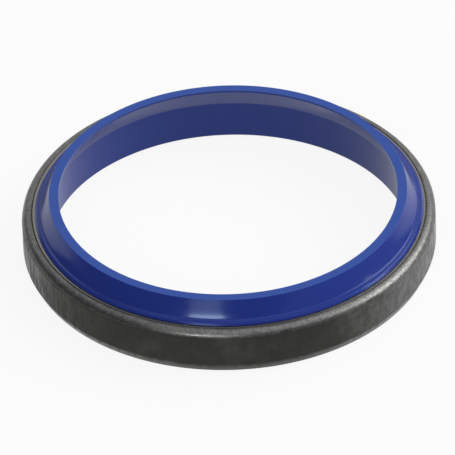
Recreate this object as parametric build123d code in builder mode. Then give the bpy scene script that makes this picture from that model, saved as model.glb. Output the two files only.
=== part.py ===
# Metal-cased wiper seal for a hydraulic or pneumatic rod.
# A drawn steel case is pressed into the housing. A polyurethane ring is moulded round the
# case's flange, and its raised lip wipes dirt off the rod as the rod goes in.
# Millimetres. +Z is the rod's axis and points out of the housing, to the dirty side.
# The origin is the middle of the case's foot, which seats on the housing's step.
import os

from build123d import *

# What the seal fits
rod_radius = 25.0
section_width = 5.0  # radial room between the rod and the housing
case_height = 7.0  # depth of the pocket in the housing

# Steel case, an L in section: a wall with a flange turned inwards at the top
case_wall = 1.0
shoulder_radius = 1.25  # outside of the drawn bend; its inner corner is pressed sharp
foot_width = 0.35  # flat left at the foot by the lead-in bevel
lead_height = 1.36  # lead-in bevel that starts the case into the housing
shutoff_width = 0.2  # mark pressed into the flange by the mould's edge
shutoff_depth = 0.08

# Wiping lip
lip_squeeze = 0.44  # how far the free lip stands inside the rod's radius
lip_projection = 3.0  # lip above the case
land_height = 0.3  # straight edge that touches the rod
crown_width = 1.37  # flat top of the lip
undercut_height = 3.44  # bevel behind the lip, down to the bore

# Body of the ring
bore_clearance = 1.13  # rod to bore
flange_cover = 0.8  # polyurethane between the bore and the flange's edge
heel_recess = 0.64  # heel of the ring above the case's foot
heel_chamfer = 0.3  # at the bore's lower corner
ledge_height = 0.5  # ring's shoulder above the flange
ledge_inset = 2.1  # shoulder's outer edge, in from the case's outside
ledge_width = 0.5  # shoulder, from the cone's foot outwards
ledge_draft = 0.3  # lean of the shoulder's side
ledge_edge = 0.2  # rounding of the shoulder's outer edge
cone_blend = 0.3  # hollow rounding at the cone's foot

# Radii and heights that follow
case_radius = rod_radius + section_width
wall_radius = case_radius - case_wall
shoulder_start = case_radius - shoulder_radius
flange_underside = case_height - case_wall
overall_height = case_height + lip_projection
lip_radius = rod_radius - lip_squeeze
bore_radius = rod_radius + bore_clearance
flange_radius = bore_radius + flange_cover
ledge_foot_radius = case_radius - ledge_inset + ledge_draft
ledge_radius = case_radius - ledge_inset
cone_foot_radius = ledge_radius - ledge_width
ledge_top = case_height + ledge_height

os.makedirs("parts", exist_ok=True)


# Case: foot, lead-in bevel, wall, rounded shoulder, flange
with BuildPart() as steel_case:
    with BuildSketch(Plane.XZ) as case_section:
        with BuildLine():
            Polyline(
                (wall_radius, 0),
                (wall_radius + foot_width, 0),
                (case_radius, lead_height),
                (case_radius, case_height - shoulder_radius),
            )
            RadiusArc(
                (case_radius, case_height - shoulder_radius),
                (shoulder_start, case_height),
                -shoulder_radius,
            )
            Polyline(
                (shoulder_start, case_height),
                (shoulder_start - shutoff_width / 2, case_height - shutoff_depth),
                (shoulder_start - shutoff_width, case_height),
                (flange_radius, case_height),
                (flange_radius, flange_underside),
                (wall_radius, flange_underside),
                (wall_radius, 0),
            )
        make_face()
    revolve(axis=Axis.Z)


# Ring: bore, bevel behind the lip, lip, cone, shoulder, and the body that grips the flange
with BuildPart() as wiper_ring:
    with BuildSketch(Plane.XZ) as ring_section:
        with BuildLine():
            Polyline(
                (wall_radius, flange_underside),
                (wall_radius, heel_recess),
                (bore_radius + heel_chamfer, heel_recess),
                (bore_radius, heel_recess + heel_chamfer),
                (bore_radius, overall_height - undercut_height),
                (lip_radius, overall_height - land_height),
                (lip_radius, overall_height),
                (lip_radius + crown_width, overall_height),
                (cone_foot_radius, ledge_top),
                (ledge_radius, ledge_top),
                (ledge_foot_radius, case_height),
                (flange_radius, case_height),
                (flange_radius, flange_underside),
                close=True,
            )
        make_face()
        rounded_corners = [
            ((cone_foot_radius, ledge_top), cone_blend),
            ((ledge_radius, ledge_top), ledge_edge),
        ]
        for corner, rounding in rounded_corners:
            fillet(ring_section.vertices().sort_by_distance(corner)[0], rounding)
    revolve(axis=Axis.Z)


steel_case.part.label = "steel_case"
wiper_ring.part.label = "wiper_ring"
export_step(steel_case.part, "parts/steel_case.step")
export_step(wiper_ring.part, "parts/wiper_ring.step")
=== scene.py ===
# Looks of a metal-cased rod wiper seal: drawn steel case, royal blue polyurethane ring.
# Lengths of the two pieces are in millimetres, and the mesh code turns them into metres. Those of
# the studio are in metres.
import math

import bpy
from mathutils import Matrix, Vector


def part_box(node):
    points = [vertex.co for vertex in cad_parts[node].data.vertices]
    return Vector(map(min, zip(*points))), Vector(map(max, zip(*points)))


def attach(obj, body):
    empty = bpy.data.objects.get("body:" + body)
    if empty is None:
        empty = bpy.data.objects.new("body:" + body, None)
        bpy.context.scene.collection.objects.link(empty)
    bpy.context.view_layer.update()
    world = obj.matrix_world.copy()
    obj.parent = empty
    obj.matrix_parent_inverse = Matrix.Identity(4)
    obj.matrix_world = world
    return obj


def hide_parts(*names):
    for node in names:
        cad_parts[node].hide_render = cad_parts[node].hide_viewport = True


mm = 0.001
creaseAngle = 32.0  # degrees; a sharper bend shows as an edge
tolerance = 0.001  # millimetres, for points that lie on a face

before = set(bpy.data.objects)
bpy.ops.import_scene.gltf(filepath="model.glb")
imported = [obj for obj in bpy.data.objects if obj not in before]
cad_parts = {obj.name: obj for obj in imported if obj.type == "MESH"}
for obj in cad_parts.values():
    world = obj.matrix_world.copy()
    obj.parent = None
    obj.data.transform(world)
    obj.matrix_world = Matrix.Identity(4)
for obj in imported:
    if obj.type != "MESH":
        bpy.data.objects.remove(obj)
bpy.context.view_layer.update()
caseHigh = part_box("steel_case")[1]
ringLow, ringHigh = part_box("wiper_ring")


# Shader sums written as Python

class Wire:
    def __init__(self, graph, socket):
        self.graph = graph
        self.socket = socket

    def maths(self, operation, *terms):
        return self.graph.node("ShaderNodeMath", {"operation": operation}, dict(enumerate(terms)))

    def __add__(self, other):
        return self.maths("ADD", self, other)

    __radd__ = __add__

    def __sub__(self, other):
        return self.maths("SUBTRACT", self, other)

    def __rsub__(self, other):
        return self.maths("SUBTRACT", other, self)

    def __mul__(self, other):
        return self.maths("MULTIPLY", self, other)

    __rmul__ = __mul__


class Graph:
    def __init__(self, name):
        self.material = bpy.data.materials.new(name)
        self.material.use_nodes = True
        self.tree = self.material.node_tree
        self.tree.nodes.clear()

    def node(self, kind, settings=None, inputs=None, output=0):
        made = self.tree.nodes.new(kind)
        for setting, value in (settings or {}).items():
            setattr(made, setting, value)
        for key, value in (inputs or {}).items():
            if isinstance(value, Wire):
                self.tree.links.new(value.socket, made.inputs[key])
            else:
                made.inputs[key].default_value = value
        return Wire(self, made.outputs[output]) if len(made.outputs) else None

    def ramp(self, value, low, high):
        # 0 at low and 1 at high, whichever of them is the larger
        settings = {"interpolation_type": "SMOOTHSTEP"}
        limits = {"Value": value, "From Min": low, "From Max": high}
        return self.node("ShaderNodeMapRange", settings, limits)

    def mix(self, amount, first, second):
        return self.node("ShaderNodeMix", {"data_type": "RGBA"}, {0: amount, 6: first, 7: second}, 2)

    def stretch(self, vector, x, y, z):
        return self.node("ShaderNodeVectorMath", {"operation": "MULTIPLY"}, {0: vector, 1: (x, y, z)})

    def noise(self, vector, scale, detail, roughness):
        values = {"Vector": vector, "Scale": scale, "Detail": detail, "Roughness": roughness}
        return self.node("ShaderNodeTexNoise", None, values)

    def place(self):
        # object coordinates in millimetres, and the height among them
        raw = self.node("ShaderNodeTexCoord", None, None, "Object")
        spot = self.stretch(raw, 1 / mm, 1 / mm, 1 / mm)
        return spot, self.node("ShaderNodeSeparateXYZ", None, {0: spot}, 2)

    def apart(self, first, second):
        return self.node("ShaderNodeVectorMath", {"operation": "DISTANCE"}, {0: first, 1: second}, "Value")

    def bump(self, height, depth):
        inputs = {"Height": height, "Distance": depth * mm, "Strength": 1.0}
        return self.node("ShaderNodeBump", None, inputs)

    def finish(self, inputs):
        surface = self.node("ShaderNodeBsdfPrincipled", None, inputs)
        self.node("ShaderNodeOutputMaterial", None, {"Surface": surface})
        return self.material


# Turned sections

def roundedOutline(corners, arcSteps, holding=0.03):
    # corners are (radius, height, rounding); each rounded one becomes an arc of arcSteps parts, with a
    # point close to either end of it that keeps the shading of the straight runs straight
    points = []
    for index, (radius, height, rounding) in enumerate(corners):
        here = Vector((radius, height))
        if rounding == 0:
            points.append(here)
            continue
        before = (Vector(corners[index - 1][:2]) - here).normalized()
        after = (Vector(corners[(index + 1) % len(corners)][:2]) - here).normalized()
        half = before.angle(after) / 2
        centre = here + (before + after).normalized() * (rounding / math.sin(half))
        reach = rounding / math.tan(half)
        start = here + before * reach - centre
        end = here + after * reach - centre
        sweep = start.angle(end)
        points.append(here + before * (reach + holding))
        for step in range(arcSteps + 1):
            share = step / arcSteps
            spoke = start * math.sin((1 - share) * sweep) + end * math.sin(share * sweep)
            points.append(centre + spoke / math.sin(sweep))
        points.append(here + after * (reach + holding))
    return points


def dividedOutline(points, longest):
    # long straight runs get points in between, so that the surface can carry small unevenness
    divided = []
    for index, point in enumerate(points):
        following = points[(index + 1) % len(points)]
        parts = max(1, math.ceil((following - point).length / longest))
        divided += [point.lerp(following, part / parts) for part in range(parts)]
    return divided


def turned(name, outline, steps, unevenness):
    # unevenness(angle, radius, height) gives a change of radius in millimetres
    vertices, faces = [], []
    for step in range(steps):
        angle = 2 * math.pi * step / steps
        for radius, height in outline:
            reach = (radius + unevenness(angle, radius, height)) * mm
            vertices.append((reach * math.cos(angle), reach * math.sin(angle), height * mm))
    count = len(outline)
    for step in range(steps):
        here, there = step * count, (step + 1) % steps * count
        for index in range(count):
            following = (index + 1) % count
            faces.append((here + index, there + index, there + following, here + following))
    mesh = bpy.data.meshes.new(name)
    mesh.from_pydata(vertices, [], faces)
    mesh.validate()
    mesh.shade_smooth()
    mesh.set_sharp_from_angle(angle=math.radians(creaseAngle))
    piece = bpy.data.objects.new(name, mesh)
    bpy.context.scene.collection.objects.link(piece)
    return piece


# Steel case

steelCase = {
    "wall": 1.0,
    "shoulder": 1.25,
    "shoulderShare": 0.999,  # of the shoulder's radius, for the arc
    "footWidth": 0.35,
    "footEdge": 0.06,
    "leadHeight": 1.36,
    "leadBlend": 0.5,
    "flangeHole": 26.93,
    "shutoffWidth": 0.16,
    "shutoffDepth": 0.06,
    "shutoffInset": 0.09,
    # the mould's edge pressed its ring a little off centre, as the moulding sits
    "offCentre": 0.07,
    "offCentreAngle": -45.0,
    "steps": 720,
    "arcSteps": 10,
    "longestRun": 0.6,
    # painted shade: the wall's steel is darker than the shoulder's, standing in for the shaded floor that
    # the wall mirrors
    "darkWall": (0.034, 0.033, 0.031, 1),
    "paleWall": (0.075, 0.074, 0.072, 1),
    # painted light: a paler pool on the right of the wall where the key lamp falls, with rubbed-looking
    # texture
    "litRubbedWall": (0.200, 0.199, 0.197, 1),
    "litWallCentre": (29.0, -7.8, 4.0),
    "litWallReach": (26.0, 9.0),
    "litWallDrift": 14,
    "litWallFray": 10,
    # painted light: the bottom bevel is lighter towards the foot, standing in for the floor it faces
    "paintedBevelLight": (0.086, 0.085, 0.083, 1),
    "darkBend": (0.140, 0.139, 0.137, 1),
    "paleBend": (0.295, 0.292, 0.288, 1),
    "stain": (0.085, 0.080, 0.073, 1),
    "stainStrength": 0.55,
    # darker along the mould's groove
    "grooveDark": (0.040, 0.038, 0.034, 1),
    "grooveDarkStrength": 0.7,
    "burnished": (0.280, 0.276, 0.268, 1),
    # heights over which one finish passes into the next
    "bendRise": (5.95, 6.7),
    "crestRise": (6.15, 6.45),
    "crestFall": (6.85, 6.55),
    "leadFall": (1.1, 0.2),
    # distances outwards from the mould's mark
    "stainReach": (0.50, 0.05),
    "grooveOuter": (0.11, 0.05),
    "grooveInner": (-0.11, -0.05),
    "burnishedReach": (-0.08, -0.12),
    # noises by scale, detail and roughness, and the stretch of two of them along the height
    "drawnNoise": (1.1, 5, 0.65),
    "drawnStretch": 0.2,
    "patchNoise": (0.22, 4, 0.6),
    "speckleNoise": (2.6, 3, 0.6),
    "mottleNoise": (0.9, 4, 0.65),
    "fleckNoise": (1.9, 2, 0.6),
    "fleckStretch": 2,
    # the part of a noise that goes from nothing to full
    "grainContrast": (0.36, 0.64),
    "streakContrast": (0.38, 0.62),
    "blotchContrast": (0.38, 0.62),
    "fleckContrast": (0.56, 0.66),
    "patchContrast": (0.45, 0.75),
    "stainContrast": (0.35, 0.55),
    "roughness": 0.31,
    "bendRoughness": 0.15,
    "streakRoughness": 0.26,
    "fleckPolish": 0.06,
    "crestPolish": 0.09,
    "reliefDepth": 0.026,
}


def markRadius(look):
    return caseHigh.x / mm - look["shoulder"] - look["shutoffInset"] - look["shutoffWidth"] / 2


def makeCase(look):
    outside = caseHigh.x / mm
    top = caseHigh.z / mm
    inside = outside - look["wall"]
    mark = markRadius(look)
    corners = [
        (inside, 0, 0),
        (inside + look["footWidth"], 0, look["footEdge"]),
        (outside, look["leadHeight"], look["leadBlend"]),
        (outside, top, look["shoulder"] * look["shoulderShare"]),
        (mark + look["shutoffWidth"] / 2, top, 0),
        (mark, top - look["shutoffDepth"], 0),
        (mark - look["shutoffWidth"] / 2, top, 0),
        (look["flangeHole"], top, 0),
        (look["flangeHole"], top - look["wall"], 0),
        (inside, top - look["wall"], 0),
    ]
    outline = dividedOutline(roundedOutline(corners, look["arcSteps"]), look["longestRun"])

    def unevenness(angle, radius, height):
        onMark = abs(radius - mark) < look["shutoffWidth"] and height > top - look["wall"] / 2
        shift = look["offCentre"] * math.cos(angle - math.radians(look["offCentreAngle"]))
        return shift if onMark else 0

    return turned("steelCase", outline, look["steps"], unevenness)


def steelFinish(look):
    graph = Graph("drawnSteel")
    spot, z = graph.place()
    bend = graph.ramp(z, *look["bendRise"])
    crest = graph.ramp(z, *look["crestRise"]) * graph.ramp(z, *look["crestFall"])
    lead = graph.ramp(z, *look["leadFall"])
    wall = (1 - bend) * (1 - lead)
    drawn = graph.noise(graph.stretch(spot, 1, 1, look["drawnStretch"]), *look["drawnNoise"])
    patches = graph.noise(spot, *look["patchNoise"])
    speckle = graph.noise(spot, *look["speckleNoise"])
    mottle = graph.noise(spot, *look["mottleNoise"])
    fleckSpots = graph.noise(graph.stretch(spot, 1, 1, look["fleckStretch"]), *look["fleckNoise"])
    # the wall's steel, and a painted pool of light round one spot on its right, where the right-hand key
    # lamp falls, broken up by streaks and blotches
    drift = (patches - 0.5) * look["litWallDrift"]
    fray = (drawn - 0.5) * look["litWallFray"]
    litWallPatch = graph.ramp(graph.apart(spot, look["litWallCentre"]) + drift + fray, *look["litWallReach"])
    # the patterns, and then the share of each that a finish takes
    grain = graph.ramp(speckle, *look["grainContrast"])
    streaks = graph.ramp(drawn, *look["streakContrast"])
    blotches = graph.ramp(mottle, *look["blotchContrast"])
    flecks = graph.ramp(fleckSpots, *look["fleckContrast"])
    paleWall = streaks * 0.25 + graph.ramp(patches, *look["patchContrast"]) * 0.45
    paleBend = grain * 0.55 + blotches * 0.2 + flecks * 0.25
    litWallTexture = grain * 0.15 + streaks * 0.35 + blotches * 0.5
    # the wall's colour: darker than the shoulder's as painted shade for the shaded floor it mirrors, with
    # streaks and patches of random tone
    colour = graph.mix(paleWall, look["darkWall"], look["paleWall"])
    # painted pool of light on the right of the wall, broken up by the drawn streaks and blotches
    colour = graph.mix(litWallPatch * (0.3 + litWallTexture * 0.7), colour, look["litRubbedWall"])
    # painted light on the bottom bevel, lighter towards the foot, with grain
    colour = graph.mix(lead * (0.4 + grain * 0.6), colour, look["paintedBevelLight"])
    colour = graph.mix(bend, colour, graph.mix(paleBend, look["darkBend"], look["paleBend"]))
    # the mould's edge: darker along its groove, and burnished metal inside it
    turn = math.radians(look["offCentreAngle"])
    shifted = (look["offCentre"] * math.cos(turn), look["offCentre"] * math.sin(turn), 0)
    fromMark = graph.apart(graph.stretch(spot, 1, 1, 0), shifted) - markRadius(look)
    inside = graph.ramp(fromMark, *look["burnishedReach"])
    grooveMask = graph.ramp(fromMark, *look["grooveInner"]) * graph.ramp(fromMark, *look["grooveOuter"])
    stain = graph.ramp(fromMark, *look["stainReach"]) * graph.ramp(patches, *look["stainContrast"])
    colour = graph.mix(stain * bend * look["stainStrength"], colour, look["stain"])
    colour = graph.mix(inside * bend, colour, look["burnished"])
    # darker along the mould's groove
    colour = graph.mix(grooveMask * bend * look["grooveDarkStrength"], colour, look["grooveDark"])
    # streaks of the drawing on the wall, and a crest that the die has burnished
    rough = look["roughness"] + bend * look["bendRoughness"] + streaks * wall * look["streakRoughness"]
    rough = rough - flecks * bend * look["fleckPolish"] - crest * look["crestPolish"]
    relief = drawn * wall * 1.8 + speckle * bend * 0.6 + mottle * bend * 0.2 + flecks * bend * 0.15
    normal = graph.bump(relief, look["reliefDepth"])
    return graph.finish({"Base Color": colour, "Metallic": 1.0, "Roughness": rough, "Normal": normal})


caseShell = makeCase(steelCase)
caseShell.data.materials.append(steelFinish(steelCase))
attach(caseShell, "root")
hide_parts("steel_case")
print("steel case:", len(caseShell.data.polygons), "faces")


# Polyurethane ring

wiperRing = {
    # the wall and the flange that the ring is moulded to are the case's
    "wallRadius": caseHigh.x / mm - steelCase["wall"],
    "flangeHole": steelCase["flangeHole"],
    "flangeTop": caseHigh.z / mm,
    "flangeUnderside": caseHigh.z / mm - steelCase["wall"],
    "lipRadius": 24.56,
    "lipEdge": 0.03,
    "crownWidth": 1.37,
    "landHeight": 0.3,
    "landBlend": 0.05,
    "undercutHeight": 3.44,
    "undercutBlend": 0.15,
    "boreRadius": 26.13,
    "heelRounding": 0.3,
    "ledgeRadius": 27.9,
    "ledgeWidth": 0.5,
    "ledgeTop": 7.5,
    "ledgeDraft": 0.3,
    "ledgeEdge": 0.2,
    "coneBlend": 0.4,
    # the cone flares by a few hundredths towards its foot
    "flareShare": 0.68,
    "flareDepth": 0.06,
    "flareRadius": 11.0,
    "footGap": 0.13,
    "footEdge": 0.05,
    "crownEdge": 0.04,
    # the moulding sits a little off the case's centre towards the front right
    "offCentre": 0.16,
    "offCentreFrom": 26.0,
    "offCentreAngle": -45.0,
    "steps": 720,
    "arcSteps": 6,
    "longestRun": 0.8,
    "blue": (0.018, 0.036, 0.255, 1),
    "trimmedBlue": (0.020, 0.067, 0.350, 1),
    "crownRise": (9.95, 9.98),
    # noises by scale, detail and roughness, and the part of each that goes from nothing to full
    "cloudNoise": (0.3, 2, 0.5),
    "cloudContrast": (0.3, 0.7),
    "lineNoise": (1, 3, 0.6),
    "lineStretch": (0.12, 0.12, 5),
    "lineContrast": (0.4, 0.6),
    "lineDepth": 0.003,
    "roughness": 0.12,
    "crownRoughness": 0.25,
    "cloudRoughness": 0.03,
    "lineRoughness": 0.03,
    "sheen": (0.58, 0.76, 1.0, 1),
    "ior": 1.42,
}


def offCentreShift(look, angle, radius):
    # radial shift of the moulding's foot, which fades out towards the trimmed lip
    share = (radius - look["offCentreFrom"]) / (look["ledgeRadius"] - look["offCentreFrom"])
    reach = look["offCentre"] * min(max(share, 0), 1)
    return reach * math.cos(angle - math.radians(look["offCentreAngle"]))


def makeRing(look):
    top = ringHigh.z / mm
    heel = ringLow.z / mm
    ledge = look["ledgeRadius"]
    crownOuter = Vector((look["lipRadius"] + look["crownWidth"], top))
    coneFoot = Vector((ledge - look["ledgeWidth"], look["ledgeTop"]))
    outwards = (coneFoot - crownOuter).orthogonal().normalized()
    flare = crownOuter.lerp(coneFoot, look["flareShare"]) - outwards * look["flareDepth"]
    corners = [
        (look["wallRadius"], look["flangeUnderside"], 0),
        (look["wallRadius"], heel, 0),
        (look["boreRadius"], heel, look["heelRounding"]),
        (look["boreRadius"], top - look["undercutHeight"], look["undercutBlend"]),
        (look["lipRadius"], top - look["landHeight"], look["landBlend"]),
        (look["lipRadius"], top, look["lipEdge"]),
        (*crownOuter, look["crownEdge"]),
        (*flare, look["flareRadius"]),
        (*coneFoot, look["coneBlend"]),
        (ledge, look["ledgeTop"], look["ledgeEdge"]),
        (ledge + look["ledgeDraft"], look["flangeTop"] + look["footGap"], look["footEdge"]),
        (ledge + look["ledgeDraft"] - look["footGap"], look["flangeTop"], 0),
        (look["flangeHole"], look["flangeTop"], 0),
        (look["flangeHole"], look["flangeUnderside"], 0),
    ]
    outline = dividedOutline(roundedOutline(corners, look["arcSteps"]), look["longestRun"])

    def unevenness(angle, radius, height):
        onTop = height > look["flangeTop"] - tolerance
        return offCentreShift(look, angle, radius) if onTop else 0

    return turned("wiperRing", outline, look["steps"], unevenness)


def ringFinish(look):
    graph = Graph("mouldedPolyurethane")
    spot, z = graph.place()
    crown = graph.ramp(z, *look["crownRise"])
    cloud = graph.noise(spot, *look["cloudNoise"])
    colour = graph.mix(crown, look["blue"], look["trimmedBlue"])
    # faint lines round the moulding, left by the turned mould
    lines = graph.noise(graph.stretch(spot, *look["lineStretch"]), *look["lineNoise"])
    rough = look["roughness"] + crown * look["crownRoughness"]
    rough = rough + graph.ramp(cloud, *look["cloudContrast"]) * look["cloudRoughness"]
    rough = rough + graph.ramp(lines, *look["lineContrast"]) * look["lineRoughness"]
    inputs = {"Base Color": colour, "Roughness": rough, "Normal": graph.bump(lines, look["lineDepth"]),
              "IOR": look["ior"], "Specular Tint": look["sheen"]}
    return graph.finish(inputs)


ringPiece = makeRing(wiperRing)
ringPiece.data.materials.append(ringFinish(wiperRing))
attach(ringPiece, "root")
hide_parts("wiper_ring")
print("polyurethane ring:", len(ringPiece.data.polygons), "faces")


# Floor, light and camera

studio = {
    "floorSide": 6.0,
    "floorColour": (0.80, 0.80, 0.80, 1),
    "floorLift": 0.90,  # share of plain white, for the camera and for what the object mirrors alike
    "worldRadiance": 0.12,
    "softboxDistance": 1.5,
    # degrees of azimuth from the front towards +X, of elevation, of width and of height; radiance
    "softboxes": {
        "rightKey": (106, 36, 46, 32, 4.0),
        "rightWash": (75, 24, 80, 40, 0.25),
        "overhead": (80, 80, 66, 66, 0.75),
        "back": (176, 31, 80, 38, 0.8),
        "nearCamera": (-15.5, 33, 17, 8, 12.0),
        "nearCameraSkirt": (-15.5, 24.5, 17, 9, 3.0),
    },
    "camera": {
        "elevation": 37.02,
        "roll": 1.99,
        "distance": 1.2,
        "focalPixels": 8250.0,
        "originPixel": (229.3, 245.3),
        "middlePixel": 227.0,
        "framePixels": 455,
        "sensorWidth": 36,
        "clip": (0.05, 20),
    },
}


def makeFloor(look):
    half = look["floorSide"] / 2
    mesh = bpy.data.meshes.new("floor")
    corners = [(-half, -half, 0), (half, -half, 0), (half, half, 0), (-half, half, 0)]
    mesh.from_pydata(corners, [], [(0, 1, 2, 3)])
    floor = bpy.data.objects.new("floor", mesh)
    bpy.context.scene.collection.objects.link(floor)
    graph = Graph("paleFloor")
    cameraRay = graph.node("ShaderNodeLightPath", None, None, "Is Camera Ray")
    glossyRay = graph.node("ShaderNodeLightPath", None, None, "Is Glossy Ray")
    throughRay = graph.node("ShaderNodeLightPath", None, None, "Is Transmission Ray")
    seen = graph.node("ShaderNodeMath", {"operation": "MAXIMUM"}, {0: cameraRay, 1: glossyRay})
    seen = graph.node("ShaderNodeMath", {"operation": "MAXIMUM"}, {0: seen, 1: throughRay})
    paper = graph.node("ShaderNodeBsdfDiffuse", None, {"Color": look["floorColour"]})
    glow = graph.node("ShaderNodeEmission", None, {"Color": (1, 1, 1, 1), "Strength": 1.0})
    surface = graph.node("ShaderNodeMixShader", None, {0: seen * look["floorLift"], 1: paper, 2: glow})
    graph.node("ShaderNodeOutputMaterial", None, {"Surface": surface})
    mesh.materials.append(graph.material)


def makeWorld(look):
    world = bpy.data.worlds.new("studio")
    bpy.context.scene.world = world
    world.use_nodes = True
    background = world.node_tree.nodes["Background"]
    background.inputs["Color"].default_value = (1, 1, 1, 1)
    background.inputs["Strength"].default_value = look["worldRadiance"]


def makeSoftbox(name, azimuth, elevation, width, height, radiance, distance):
    turn, rise = math.radians(azimuth), math.radians(elevation)
    flat = Vector((math.sin(turn), -math.cos(turn), 0)) * math.cos(rise)
    direction = flat + Vector((0, 0, math.sin(rise)))
    lamp = bpy.data.lights.new(name, "AREA")
    lamp.shape = "RECTANGLE"
    lamp.size = 2 * distance * math.tan(math.radians(width) / 2)
    lamp.size_y = 2 * distance * math.tan(math.radians(height) / 2)
    lamp.energy = radiance * math.pi * lamp.size * lamp.size_y
    holder = bpy.data.objects.new(name, lamp)
    holder.location = direction * distance
    holder.rotation_euler = direction.to_track_quat("Z", "Y").to_euler()
    bpy.context.scene.collection.objects.link(holder)


def makeCamera(look):
    rise, roll = math.radians(look["elevation"]), math.radians(look["roll"])
    forward = Vector((0, math.cos(rise), -math.sin(rise)))
    level = Vector((1, 0, 0))
    upright = Vector((0, math.sin(rise), math.cos(rise)))
    right = level * math.cos(roll) - upright * math.sin(roll)
    up = level * math.sin(roll) + upright * math.cos(roll)
    perPixel = look["distance"] / look["focalPixels"]
    across = (look["originPixel"][0] - look["middlePixel"]) * perPixel
    down = (look["originPixel"][1] - look["middlePixel"]) * perPixel
    place = -forward * look["distance"] - right * across + up * down
    camera = bpy.data.objects.new("camera", bpy.data.cameras.new("camera"))
    camera.data.sensor_width = look["sensorWidth"]
    camera.data.lens = look["focalPixels"] * look["sensorWidth"] / look["framePixels"]
    camera.data.clip_start, camera.data.clip_end = look["clip"]
    camera.matrix_world = Matrix((
        (right.x, up.x, -forward.x, place.x),
        (right.y, up.y, -forward.y, place.y),
        (right.z, up.z, -forward.z, place.z),
        (0, 0, 0, 1)))
    bpy.context.scene.collection.objects.link(camera)
    bpy.context.scene.camera = camera


makeFloor(studio)
makeWorld(studio)
for boxName, aim in studio["softboxes"].items():
    makeSoftbox(boxName, *aim, studio["softboxDistance"])
makeCamera(studio["camera"])
bpy.context.scene.view_settings.view_transform = "Standard"
print("studio ready")
